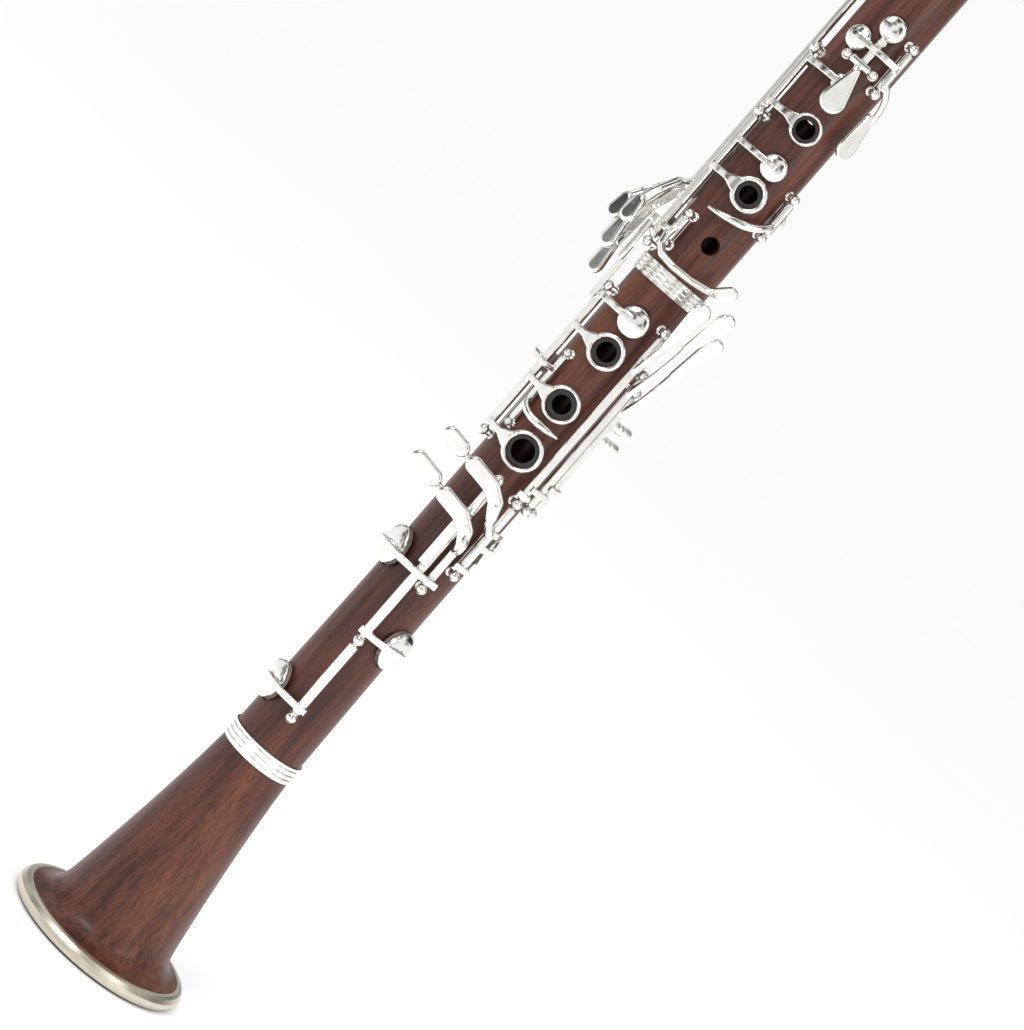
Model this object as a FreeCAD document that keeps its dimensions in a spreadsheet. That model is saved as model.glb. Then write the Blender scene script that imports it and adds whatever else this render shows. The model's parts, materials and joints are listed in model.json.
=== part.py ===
# A B flat clarinet of the Boehm system, standing on the rim of its bell.
# Millimetres; the bore runs along +Z from the bell rim (z = 0) to the tip of the mouthpiece.
# The finger holes face -Y. An angle "phi" is measured around the bore from -Y towards +X.
import FreeCAD, Part
import math
import os
import Sketcher

os.makedirs("parts", exist_ok=True)
DOC = FreeCAD.newDocument("clarinet")
Vector = FreeCAD.Vector
UP = Vector(0, 0, 1)

# ---------------------------------------------------------------- driving dimensions
DIMENSIONS = {
    # bore and body
    "bore_radius": 7.4,
    "lower_radius": 14.0,
    "lower_foot_radius": 15.2,
    "lower_taper_end": 176.0,
    "upper_radius": 14.15,
    # heights of the joints along the bore
    "bell_length": 104.2,
    "bell_ring_height": 7.4,
    "rim_ring_height": 6.6,
    "lower_top": 338.3,
    "middle_ring_height": 6.8,
    "upper_top": 537.0,
    "barrel_length": 65.0,
    "mouthpiece_length": 73.0,
    # bell
    "rim_radius": 39.4,
    "bell_rim_wood_radius": 35.4,
    "bell_throat_radius": 15.2,
    "bell_growth": 13.0,
    "outer_flare_length": 2.2,
    "inner_flare": 6.5,
    "inner_flare_length": 7.0,
    "rim_face_set_back": 0.4,
    "bell_wall": 3.6,
    "bell_wall_growth": 3.0,
    "bell_ring_radius": 16.0,
    "middle_ring_radius": 15.0,
    "ring_wall": 1.3,
    # tenons and sockets
    "socket_radius": 12.3,
    "tenon_wood_radius": 11.3,
    "bell_tenon_length": 15.0,
    "middle_tenon_length": 17.5,
    "upper_tenon_length": 14.0,
    "mouthpiece_tenon_length": 14.0,
    "cork_fit": 0.03,
    "shoulder_gap": 0.1,
    # barrel and mouthpiece
    "barrel_radius": 15.6,
    "barrel_ring_height": 5.0,
    "barrel_ring_radius": 16.4,
    "mouthpiece_radius": 13.6,
    "mouthpiece_neck_radius": 11.9,
    "table_depth": 8.0,
    "tip_thickness": 1.3,
    "reed_width": 13.0,
    "reed_thickness": 2.8,
    "ligature_height": 22.0,
    "ligature_wall": 0.8,
    # hinge work
    "rod_radius": 0.8,
    "tube_radius": 1.75,
    "running_fit": 0.06,
    "post_stem_radius": 1.35,
    "shank_radius": 1.1,
    "shank_depth": 1.6,
    "end_play": 0.3,
    "rod_height": 4.3,
    # pads, cups and seats
    "pad_thickness": 1.6,
    "cup_thickness": 1.5,
    "cup_dome": 0.8,
    "cup_edge": 0.5,
    "seat_depth": 0.8,
    "seat_clearance": 0.5,
    "closed_gap": 0.12,
    "open_gap": 1.2,
    # finger rings and hole inserts
    "ring_bottom": 2.7,
    "ring_thickness": 1.6,
    "insert_top": 1.1,
    "insert_clearance": 0.35,
    "ring_arm_width": 2.7,
    "strap_thickness": 1.4,
    # little-finger touches
    "touch_thickness": 2.6,
    "inner_touch_level": 24.8,
    "outer_touch_level": 22.3,
    # front rods of the lower joint
    "front_rod_level": 19.0,
    "long_rod_radius": 1.1,
    "long_tube_radius": 1.95,
    # thumb rest
    "thumb_plate_thickness": 1.6,
    "thumb_rest_height": 276.0,
    "hook_reach": 37.0,
    "pin_radius": 2.3,
    "pin_groove": 0.45,
    "pin_spacing": 7.5,
}

SHEET = DOC.addObject("Spreadsheet::Sheet", "Dims")
for row, (alias, amount) in enumerate(DIMENSIONS.items(), start=1):
    SHEET.set("A%d" % row, alias)
    SHEET.set("B%d" % row, "%g" % amount)
    SHEET.setAlias("B%d" % row, alias)
DOC.recompute()

NODES = []


def dim(alias):
    return float(SHEET.get(alias))


# ---------------------------------------------------------------- placing and small solids
def outward(phi):
    """Unit vector that points away from the bore at the angle phi."""
    turn = math.radians(phi)
    return Vector(math.sin(turn), -math.cos(turn), 0)


def spot(phi, rho, height):
    """The point at the angle phi, rho from the bore's axis, at a height on the bore."""
    return outward(phi) * rho + UP * height


def over(phi, lift, height):
    """The point at the angle phi that lies a lift above the upper joint's wood."""
    return spot(phi, dim("upper_radius") + lift, height)


def lower_skin(height):
    """Outer radius of the lower joint at a height."""
    foot = dim("bell_length")
    rise = min(max((height - foot) / (dim("lower_taper_end") - foot), 0.0), 1.0)
    return dim("lower_foot_radius") + (dim("lower_radius") - dim("lower_foot_radius")) * rise


def skin(height):
    """Outer radius of the wood at a height."""
    return dim("upper_radius") if height > dim("lower_top") else lower_skin(height)


def cylinder(start, end, radius):
    along = end - start
    return Part.makeCylinder(radius, along.Length, start, along)


def bar(points, radius):
    """A round bar that follows the points, with a ball at each bend and end."""
    pieces = [Part.makeSphere(radius, point) for point in points]
    pieces += [cylinder(start, end, radius) for start, end in zip(points, points[1:])]
    return joined(pieces)


def joined(pieces):
    whole = pieces[0].multiFuse(pieces[1:]) if len(pieces) > 1 else pieces[0]
    return whole.removeSplitter()


def pipe(start, end, outer, inner):
    return cylinder(start, end, outer).cut(cylinder(start, end, inner))


def blend(amounts, share):
    """The value at a share of the way along evenly spread amounts."""
    place = share * (len(amounts) - 1)
    lower = min(int(place), len(amounts) - 2)
    return amounts[lower] + (amounts[lower + 1] - amounts[lower]) * (place - lower)


def curved_bar(points, radii, steps=2):
    """A round tapering bar along a smooth curve, with rounded ends."""
    path = Part.BSplineCurve()
    path.interpolate(points)
    first = path.FirstParameter
    reach = path.LastParameter - first
    count = steps * (len(points) - 1)
    start = path.tangent(first)[0]
    side = start.cross(UP) if abs(start.dot(UP)) < 0.8 else start.cross(Vector(1, 0, 0))
    rings = []
    for i in range(count + 1):
        place = first + reach * i / count
        along = path.tangent(place)[0]
        side = side - along * side.dot(along)
        side.normalize()
        circle = Part.makeCircle(blend(radii, i / count))
        turn = FreeCAD.Rotation(side, along.cross(side), along, "ZXY")
        circle.Placement = FreeCAD.Placement(path.value(place), turn)
        rings.append(Part.Wire(circle))
    stick = Part.makeLoft(rings, True, False)
    ends = [Part.makeSphere(0.97 * radii[0], points[0]), Part.makeSphere(0.97 * radii[-1], points[-1])]
    return stick.multiFuse(ends)


def spoon(start, end, normal, start_radius, end_radius, thickness, edge=0.55):
    """A finger touch: a leaf whose rims are rounded over."""
    plate = leaf(start, end, normal, start_radius, end_radius, thickness)
    return plate.makeFillet(edge, [item for item in plate.Edges if not rises(item, normal)])


def rises(item, normal):
    """True for an edge that runs through a leaf's thickness."""
    ends = item.Vertexes
    if len(ends) < 2:
        return False
    run = ends[1].Point - ends[0].Point
    return run.Length > 0 and abs(run.dot(normal)) > 0.9 * run.Length * normal.Length


def leaf(start, end, normal, start_radius, end_radius, thickness):
    """A flat touch: the outline of two circles and their tangents, normal to its thickness."""
    along = end - start
    length = along.Length
    along.normalize()
    normal = normal - along * normal.dot(along)
    normal.normalize()
    side = normal.cross(along)
    lean = (start_radius - end_radius) / length
    rise = math.sqrt(1 - lean * lean)

    def rim(centre, radius, hand):
        return centre + along * (lean * radius) + side * (hand * rise * radius)

    right_start = rim(start, start_radius, 1)
    left_start = rim(start, start_radius, -1)
    right_end = rim(end, end_radius, 1)
    left_end = rim(end, end_radius, -1)
    outline = Part.Wire([
        Part.Arc(left_start, start - along * start_radius, right_start).toShape(),
        Part.makeLine(right_start, right_end),
        Part.Arc(right_end, end + along * end_radius, left_end).toShape(),
        Part.makeLine(left_end, left_start),
    ])
    return Part.Face(outline).extrude(normal * thickness)


def strap(phi_from, phi_to, height, inner, width, thickness=None):
    """A flat arm bent around the bore, from one angle to another."""
    depth = thickness or dim("strap_thickness")
    low, high = sorted((phi_from, phi_to))
    base = UP * (height - width / 2)
    sector = Part.makeCylinder(inner + depth, width, base, UP, high - low)
    sector.rotate(Vector(0, 0, 0), UP, low - 90)
    return sector.cut(Part.makeCylinder(inner, width + 2, base - UP, UP))


def turned_profile(profile, centre, axis):
    """A solid turned about an axis from (radius, distance along the axis) pairs."""
    points = [Vector(radius, 0, along) for radius, along in profile]
    face = Part.Face(Part.makePolygon(points + points[:1]))
    solid = face.revolve(Vector(0, 0, 0), UP, 360)
    solid.Placement = FreeCAD.Placement(centre, FreeCAD.Rotation(UP, axis))
    return solid


# ---------------------------------------------------------------- document objects
def check(item):
    if "Invalid" in item.State or "Error" in item.State:
        raise RuntimeError(item.Label + " did not recompute")


def feature(label, shape):
    """A sub-part whose shape has no primitive or feature of its own."""
    item = DOC.addObject("Part::Feature", label)
    item.Shape = shape
    item.Placement = FreeCAD.Placement()
    item.Label = label
    NODES.append(item)
    return item


def origin_plane(body, role):
    return [item for item in body.Origin.OriginFeatures if item.Role == role][0]


def turned_body(label, outline):
    """A body turned about the bore; each corner is (radius formula, height formula)."""
    body = DOC.addObject("PartDesign::Body", label)
    sketch = body.newObject("Sketcher::SketchObject", label + "_outline")
    sketch.AttachmentSupport = [(origin_plane(body, "XZ_Plane"), "")]
    sketch.MapMode = "FlatFace"
    count = len(outline)
    rough = [Vector(10 + math.cos(2 * math.pi * i / count),
                    10 + math.sin(2 * math.pi * i / count), 0) for i in range(count)]
    for i in range(count):
        sketch.addGeometry(Part.LineSegment(rough[i], rough[(i + 1) % count]), False)
    for i, (radius, height) in enumerate(outline):
        sketch.addConstraint(Sketcher.Constraint("Coincident", i, 2, (i + 1) % count, 1))
        across = sketch.addConstraint(Sketcher.Constraint("DistanceX", -1, 1, i, 1, rough[i].x))
        sketch.setExpression("Constraints[%d]" % across, formula(radius))
        along = sketch.addConstraint(Sketcher.Constraint("DistanceY", -1, 1, i, 1, rough[i].y))
        sketch.setExpression("Constraints[%d]" % along, formula(height))
    turning = body.newObject("PartDesign::Revolution", label + "_turning")
    turning.Profile = sketch
    turning.ReferenceAxis = (sketch, ["V_Axis"])
    turning.Angle = 360
    DOC.recompute()
    body.Label = label
    return body


def formula(text):
    """Point every dimension name in a formula at the sheet."""
    words = text.split()
    return " ".join("Dims." + word if word in DIMENSIONS else word for word in words)


def node(item):
    NODES.append(item)
    return item


# ---------------------------------------------------------------- bell
def bell_cone(height):
    """Outer radius of the bell's long slow cone, without the flare at the rim."""
    depth = max(1 - height / dim("bell_length"), 0)
    return dim("bell_throat_radius") + dim("bell_growth") * depth ** 1.35


def bell_outside(height):
    """Outer radius of the bell's wood: the cone, then a tight flare into the rim ring."""
    rim_top = dim("rim_ring_height")
    flare = dim("bell_rim_wood_radius") - bell_cone(rim_top)
    return bell_cone(height) + flare * math.exp((rim_top - height) / dim("outer_flare_length"))


def bell_inside(height):
    """Radius of the bell's bore, which opens towards the rim."""
    share = height / dim("bell_length")
    opening = dim("inner_flare") * math.exp(-height / dim("inner_flare_length"))
    return bell_cone(height) - dim("bell_wall") - dim("bell_wall_growth") * share + opening


def outline_curve(radius_at, low, high, steps):
    """A smooth curve through the radii of a bell surface between two heights."""
    curve = Part.BSplineCurve()
    heights = [low + (high - low) * (i / steps) ** 1.6 for i in range(steps + 1)]
    curve.interpolate([Vector(radius_at(rise), 0, rise) for rise in heights])
    return curve.toShape()


def make_bell():
    top = dim("bell_length")
    ring_foot = top - dim("bell_ring_height")
    rim_top = dim("rim_ring_height")
    rim_face = dim("rim_face_set_back")
    socket_floor = top - dim("bell_tenon_length") - 0.5
    ring_bed = dim("bell_ring_radius") - dim("ring_wall")
    rim_bed = dim("bell_rim_wood_radius")
    socket = dim("socket_radius")
    upper_corners = [
        Vector(bell_outside(ring_foot), 0, ring_foot),
        Vector(ring_bed, 0, ring_foot),
        Vector(ring_bed, 0, top),
        Vector(socket, 0, top),
        Vector(socket, 0, socket_floor),
        Vector(bell_inside(socket_floor), 0, socket_floor),
    ]
    lower_corners = [
        Vector(bell_inside(rim_face), 0, rim_face),
        Vector(rim_bed, 0, rim_face),
        Vector(rim_bed, 0, rim_top),
    ]
    edges = [outline_curve(bell_outside, rim_top, ring_foot, 22)]
    edges += [Part.makeLine(a, b) for a, b in zip(upper_corners, upper_corners[1:])]
    edges.append(outline_curve(bell_inside, rim_face, socket_floor, 22))
    edges += [Part.makeLine(a, b) for a, b in zip(lower_corners, lower_corners[1:])]
    wire = Part.Wire(Part.__sortEdges__(edges))
    feature("bell", Part.Face(wire).revolve(Vector(0, 0, 0), UP, 360))


def make_bell_rings():
    rim_bed = "bell_rim_wood_radius"
    node(turned_body("bell_rim_ring", [
        (rim_bed, "0 mm * rim_radius"),
        ("rim_radius - 2.6", "0 mm * rim_radius"),
        ("rim_radius - 0.9", "0.16 * rim_ring_height"),
        ("rim_radius", "0.42 * rim_ring_height"),
        ("rim_radius - 0.3", "0.68 * rim_ring_height"),
        ("rim_radius - 1.4", "0.92 * rim_ring_height"),
        ("rim_radius - 2.8", "rim_ring_height"),
        (rim_bed, "rim_ring_height"),
    ]))
    node(turned_body("bell_socket_ring", grooved_ring("bell_ring_radius", "bell_length",
                                                      "bell_ring_height")))


def grooved_ring(radius, top, height):
    """Outline of a socket ring with three fine grooves around it."""
    inner = radius + " - ring_wall"
    points = [(inner, top + " - " + height), (radius, top + " - " + height)]
    for share in (0.24, 0.52, 0.8):
        points.append((radius, "%s - %g * %s" % (top, 1 - share + 0.05, height)))
        points.append((radius + " - 0.45", "%s - %g * %s" % (top, 1 - share, height)))
        points.append((radius, "%s - %g * %s" % (top, 1 - share - 0.05, height)))
    points += [(radius, top), (inner, top)]
    return points


# ---------------------------------------------------------------- tone holes
# name: (angle, height, ring outside radius, ring inside radius, hole radius)
FINGER_RINGS = {
    "low_ring": (-0.3, 253.1, 8.15, 6.3, 4.6),
    "second_ring": (-2.0, 275.5, 7.5, 5.85, 3.75),
    "first_ring": (-3.0, 301.0, 7.4, 5.55, 3.9),
    "left_second_ring": (2.2, 378.5, 7.1, 5.1, 3.45),
    "left_first_ring": (2.4, 409.8, 6.3, 4.95, 3.65),
    "thumb_ring": (180.0, 418.0, 8.2, 6.3, 4.4),
}

# name: (angle, height, pad radius, hole radius, standing open)
PADS = {
    "e_b": (-60.0, 125.7, 8.4, 6.0, True),
    "f_sharp_c_sharp": (60.0, 163.8, 8.6, 6.0, False),
    "f_c": (-58.0, 194.4, 8.4, 5.8, True),
    "a_flat_e_flat": (84.0, 215.0, 7.4, 5.4, False),
    "b_sliver": (-98.0, 283.0, 4.6, 2.8, False),
    "lower_ring": (-1.8, 315.9, 6.1, 3.4, True),
    "c_sharp_g_sharp": (-90.0, 350.0, 4.9, 3.0, False),
    "d_sharp_sliver": (102.0, 379.0, 4.8, 2.9, False),
    "middle_ring": (4.0, 391.8, 5.2, 3.0, True),
    "upper_ring": (-3.0, 430.6, 3.7, 2.2, True),
    "g_sharp": (-27.0, 447.5, 5.0, 3.0, False),
    "a": (2.8, 457.5, 5.1, 3.0, False),
    "side_key_1": (-156.0, 398.0, 4.7, 2.9, False),
    "side_key_2": (-144.0, 430.0, 4.7, 2.8, False),
    "side_key_3": (-140.0, 487.0, 4.7, 2.8, False),
    "side_key_4": (-124.0, 505.0, 4.7, 2.8, False),
    "register": (180.0, 503.0, 3.6, 1.3, False),
}
LEFT_THIRD_HOLE = (10.2, 355.3, 3.55)
REGISTER_TUBE_TOP = 1.5


def pad_bottom(name):
    """Distance of a pad's face from the bore's axis, at rest."""
    phi, height, radius, hole, standing_open = PADS[name]
    if name == "register":
        return skin(height) + REGISTER_TUBE_TOP + dim("closed_gap")
    gap = dim("open_gap") if standing_open else dim("closed_gap")
    return skin(height) - dim("seat_depth") + gap


def cup_bottom(name):
    return pad_bottom(name) + dim("pad_thickness")


def cup_top(name):
    return cup_bottom(name) + dim("cup_thickness")


def make_pad(name):
    """The soft disc in a key's cup."""
    phi, height, radius, hole, standing_open = PADS[name]
    disc = DOC.addObject("Part::Cylinder", name + "_pad")
    disc.Radius = radius - 0.25
    disc.setExpression("Height", "Dims.pad_thickness")
    disc.Placement = FreeCAD.Placement(spot(phi, pad_bottom(name), height),
                                       FreeCAD.Rotation(UP, outward(phi)))
    disc.Label = name + "_pad"
    node(disc)


def cup(name):
    """The domed metal cup over a pad."""
    phi, height, radius, hole, standing_open = PADS[name]
    edge = dim("cup_edge")
    rise = dim("cup_thickness") + dim("cup_dome") - edge
    profile = [(0, 0), (radius, 0), (radius, edge)]
    for step in range(1, 7):
        turn = math.radians(15 * step)
        profile.append((radius * math.cos(turn) if step < 6 else 0, edge + rise * math.sin(turn)))
    return turned_profile(profile, spot(phi, cup_bottom(name), height), outward(phi))


def hole_cuts(upper):
    """Everything bored into the wood of one joint for the holes and their seats."""
    cuts = []
    for phi, height, ring_outer, ring_inner, hole in FINGER_RINGS.values():
        if (height > dim("lower_top")) != upper:
            continue
        cuts.append(cylinder(spot(phi, 0, height), spot(phi, 20, height), hole))
        cuts.append(cylinder(spot(phi, 9.6, height), spot(phi, 20, height),
                             ring_inner - dim("insert_clearance")))
    for name, (phi, height, radius, hole, standing_open) in PADS.items():
        if (height > dim("lower_top")) != upper:
            continue
        cuts.append(cylinder(spot(phi, 0, height), spot(phi, 20, height), hole))
        if name == "register":
            cuts.append(cylinder(spot(phi, 9.6, height), spot(phi, 20, height), hole + 1.2))
            continue
        floor = skin(height) - dim("seat_depth")
        cuts.append(cylinder(spot(phi, floor, height), spot(phi, 22, height),
                             radius + dim("seat_clearance")))
    if upper:
        phi, height, hole = LEFT_THIRD_HOLE
        cuts.append(cylinder(spot(phi, 0, height), spot(phi, 20, height), hole))
    return cuts


def make_inserts():
    """The dark chimneys in the ringed holes, with the register tube and the thumb tube."""
    inserts = []
    for phi, height, ring_outer, ring_inner, hole in FINGER_RINGS.values():
        top = skin(height) + dim("insert_top")
        inserts.append(pipe(spot(phi, 9.6, height), spot(phi, top, height),
                            ring_inner - dim("insert_clearance"), hole))
    phi, height, radius, hole, standing_open = PADS["register"]
    inserts.append(pipe(spot(phi, 9.6, height), spot(phi, skin(height) + REGISTER_TUBE_TOP, height),
                        hole + 1.2, hole))
    feature("tone_hole_inserts", Part.Compound(inserts))


# ---------------------------------------------------------------- hinge lines
# A hinge line is (angle, distance from the bore's axis); its rod runs along the bore.
def line(phi, lift=0.0):
    return (phi, dim("upper_radius") + dim("rod_height") + lift)


RING_LINE = line(-63.7)
SLIVER_LINE = (-44.0, dim("lower_radius") + 2.4)
FRONT_LINE = (0.9, dim("front_rod_level"))
F_C_LINE = (16.5, dim("front_rod_level"))
RIGHT_LINE = line(38.0, -0.15)
SECOND_RIGHT_LINE = line(57.0, -0.15)
THIRD_RIGHT_LINE = line(76.0, -0.15)
D_SHARP_LINE = line(55.0, -0.5)
C_SHARP_LINE = line(-38.0, -0.25)
THUMB_LINE = line(140.0, -0.25)
SIDE_LINES = [line(phi, -0.25) for phi in (-126.0, -112.0, -98.0, -84.0)]
SIDE_TUBE = 1.5
SLIVER_TUBE = 1.25
SIDE_FOOT = 363.0
SIDE_TOPS = [PADS["side_key_%d" % number][1] + 7.0 for number in (1, 2, 3, 4)]

# each rod: (hinge line, heights of its posts, radius of the post balls)
RODS = {
    "ring_upper": (RING_LINE, (341.7, 404.3, 434.9), 2.1),
    "ring_lower": (RING_LINE, (249.1, 319.7), 2.1),
    "sliver_lower": (SLIVER_LINE, (257.6, 291.2), 1.5),
    "f_c": (F_C_LINE, (189.6, 213.6), 2.1),
    "right_lower": (RIGHT_LINE, (200.9, 236.6, 320.2), 2.1),
    "second_right": (SECOND_RIGHT_LINE, (236.6, 303.0), 2.0),
    "third_right": (THIRD_RIGHT_LINE, (236.6, 296.0), 2.0),
    "c_sharp_g_sharp": (C_SHARP_LINE, (345.6, 359.3), 1.6),
    "d_sharp_sliver": (D_SHARP_LINE, (369.8, 388.0), 2.0),
    "g_sharp": (RIGHT_LINE, (435.8, 456.9), 2.0),
    "thumb": (THUMB_LINE, (401.6, 436.4), 2.0),
}
for number, (side_line, top) in enumerate(zip(SIDE_LINES, SIDE_TOPS), start=1):
    RODS["side_%d" % number] = (side_line, (SIDE_FOOT, top), 1.9)
LONG_ROD_POSTS = (120.9, 159.8, 239.2)

# cross rods: (height, distance from the bore's axis, facing angle, half the post spacing)
A_PIVOT = (440.3, dim("upper_radius") + 4.35, 0.0, 6.2)
REGISTER_PIVOT = (468.0, dim("upper_radius") + 4.35, 180.0, 5.6)
CROSS_POST = 1.7
POST_COLLAR = 0.6


def along_rod(hinge, height):
    return spot(hinge[0], hinge[1], height)


def post(foot, head, ball):
    """A post with its screw shank sunk in the wood."""
    inward = head - foot
    inward.normalize()
    stem = cylinder(foot - inward * 0.9, head, dim("post_stem_radius"))
    collar = cylinder(foot - inward * 0.9, foot + inward * 0.7,
                      dim("post_stem_radius") + POST_COLLAR)
    shank = cylinder(foot - inward * dim("shank_depth"), head, dim("shank_radius"))
    return joined([stem, collar, shank, Part.makeSphere(ball, head)])


def post_places():
    """(foot on the wood, head on the rod, ball radius, bore start, bore end, bore radius)."""
    places = []
    reach = UP * 4
    for hinge, heights, ball in RODS.values():
        for height in heights:
            head = along_rod(hinge, height)
            foot = spot(hinge[0], skin(height), height)
            places.append((foot, head, ball, head - reach, head + reach, dim("rod_radius")))
    for height in LONG_ROD_POSTS:
        head = along_rod(FRONT_LINE, height)
        foot = spot(FRONT_LINE[0], skin(height), height)
        bore = dim("long_rod_radius") + dim("running_fit")
        places.append((foot, head, 2.25, head - reach, head + reach, bore))
    for height, rho, facing, spacing in (A_PIVOT, REGISTER_PIVOT):
        side = outward(facing + 90)
        for hand in (-1, 1):
            head = spot(facing, rho, height) + side * (hand * spacing)
            depth = math.sqrt(skin(height) ** 2 - spacing ** 2)
            foot = spot(facing, depth, height) + side * (hand * spacing)
            places.append((foot, head, CROSS_POST, head - side * 3, head + side * 3,
                           dim("rod_radius")))
    return places


def make_posts(label, upper, wood):
    posts = []
    for foot, head, ball, bore_from, bore_to, bore in post_places():
        if (head.z > dim("lower_top")) != upper:
            continue
        posts.append(post(foot, head, ball).cut(cylinder(bore_from, bore_to, bore)).cut(wood))
    feature(label, Part.Compound(posts))


def shank_holes(upper):
    holes = []
    for foot, head, ball, bore_from, bore_to, bore in post_places():
        if (head.z > dim("lower_top")) != upper:
            continue
        inward = head - foot
        inward.normalize()
        holes.append(cylinder(foot - inward * dim("shank_depth"), foot + inward * 3,
                              dim("shank_radius")))
    return holes


def make_rods():
    """The steel rods and pivot screws that the keys turn on."""
    rods = []
    for hinge, heights, ball in RODS.values():
        rods.append(cylinder(along_rod(hinge, min(heights) - ball),
                             along_rod(hinge, max(heights) + ball), dim("rod_radius")))
    for height, rho, facing, spacing in (A_PIVOT, REGISTER_PIVOT):
        side = outward(facing + 90)
        middle = spot(facing, rho, height)
        reach = spacing + CROSS_POST
        rods.append(cylinder(middle - side * reach, middle + side * reach, dim("rod_radius")))
    feature("hinge_rods", Part.Compound(rods))


def make_springs():
    """Needle springs that lie under the hinge tubes, each fixed in a post."""
    springs = []
    for name, (hinge, heights, ball) in RODS.items():
        foot = min(heights) + dim("post_stem_radius") + POST_COLLAR + 0.02
        length = min(22.0, 0.7 * (max(heights) - min(heights)))
        level = skin(foot) + 0.7
        springs.append(cylinder(spot(hinge[0], level, foot),
                                spot(hinge[0], level, foot + length), 0.25))
    feature("needle_springs", Part.Compound(springs))


# ---------------------------------------------------------------- wooden joints and fittings
def bored(label, blank, cuts):
    """A joint of wood: the turned blank less everything bored into it."""
    tool = DOC.addObject("Part::Feature", label + "_borings")
    tool.Shape = cuts[0].multiFuse(cuts[1:])
    joint = DOC.addObject("Part::Cut", label)
    joint.Base = blank
    joint.Tool = tool
    DOC.recompute()
    joint.Label = label
    return node(joint)


def make_lower_joint():
    blank = turned_body("lower_joint_blank", [
        ("bore_radius", "bell_length - bell_tenon_length"),
        ("tenon_wood_radius", "bell_length - bell_tenon_length"),
        ("tenon_wood_radius", "bell_length + shoulder_gap"),
        ("lower_foot_radius", "bell_length + shoulder_gap"),
        ("lower_radius", "lower_taper_end"),
        ("lower_radius", "lower_top - middle_ring_height"),
        ("middle_ring_radius - ring_wall", "lower_top - middle_ring_height"),
        ("middle_ring_radius - ring_wall", "lower_top"),
        ("socket_radius", "lower_top"),
        ("socket_radius", "lower_top - middle_tenon_length - 0.4"),
        ("bore_radius", "lower_top - middle_tenon_length - 0.4"),
    ])
    return bored("lower_joint", blank, hole_cuts(False) + shank_holes(False))


def make_upper_joint():
    blank = turned_body("upper_joint_blank", [
        ("bore_radius", "lower_top - middle_tenon_length"),
        ("tenon_wood_radius", "lower_top - middle_tenon_length"),
        ("tenon_wood_radius", "lower_top + shoulder_gap"),
        ("upper_radius", "lower_top + shoulder_gap"),
        ("upper_radius", "upper_top"),
        ("tenon_wood_radius", "upper_top"),
        ("tenon_wood_radius", "upper_top + upper_tenon_length"),
        ("bore_radius", "upper_top + upper_tenon_length"),
    ])
    return bored("upper_joint", blank, hole_cuts(True) + shank_holes(True))


def make_corks():
    """Cork sleeves on the three tenons of the two joints."""
    outer = dim("socket_radius") - dim("cork_fit")
    inner = dim("tenon_wood_radius")
    foot = dim("bell_length") - dim("bell_tenon_length")
    middle = dim("lower_top") - dim("middle_tenon_length")
    top = dim("upper_top")
    spans = [(foot + 1, dim("bell_length") - 2), (middle + 1, dim("lower_top") - 2)]
    spans.append((top + 2, top + dim("upper_tenon_length") - 1))
    sleeves = [pipe(UP * low, UP * high, outer, inner) for low, high in spans]
    feature("tenon_corks", Part.Compound(sleeves))


def make_barrel():
    base = "upper_top + shoulder_gap"
    top = "upper_top + barrel_length"
    ring_bed = "barrel_ring_radius - ring_wall"
    node(turned_body("barrel", [
        ("socket_radius", base),
        (ring_bed, base),
        (ring_bed, "upper_top + barrel_ring_height"),
        ("barrel_radius", "upper_top + barrel_ring_height"),
        ("barrel_radius + 1.1", "upper_top + 0.5 * barrel_length"),
        ("barrel_radius", top + " - barrel_ring_height"),
        (ring_bed, top + " - barrel_ring_height"),
        (ring_bed, top),
        ("socket_radius", top),
        ("socket_radius", top + " - mouthpiece_tenon_length - 0.5"),
        ("bore_radius", top + " - mouthpiece_tenon_length - 0.5"),
        ("bore_radius", "upper_top + upper_tenon_length + 0.5"),
        ("socket_radius", "upper_top + upper_tenon_length + 0.5"),
    ]))
    outer = dim("barrel_ring_radius")
    inner = outer - dim("ring_wall")
    low = dim("upper_top") + dim("shoulder_gap")
    high = dim("upper_top") + dim("barrel_length")
    rise = dim("barrel_ring_height")
    rings = [pipe(UP * low, UP * (dim("upper_top") + rise), outer, inner)]
    rings.append(pipe(UP * (high - rise), UP * high, outer, inner))
    feature("barrel_rings", Part.Compound(rings))


# ---------------------------------------------------------------- mouthpiece group
def mouthpiece_foot():
    return dim("upper_top") + dim("barrel_length")


def mouthpiece_body_radius(rise):
    """Outer radius of the mouthpiece above its base band, before the beak is cut."""
    share = (rise - 7.0) / (dim("mouthpiece_length") - 7.0)
    return dim("mouthpiece_radius") - 0.6 - (dim("mouthpiece_radius") - 10.6) * share


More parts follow.
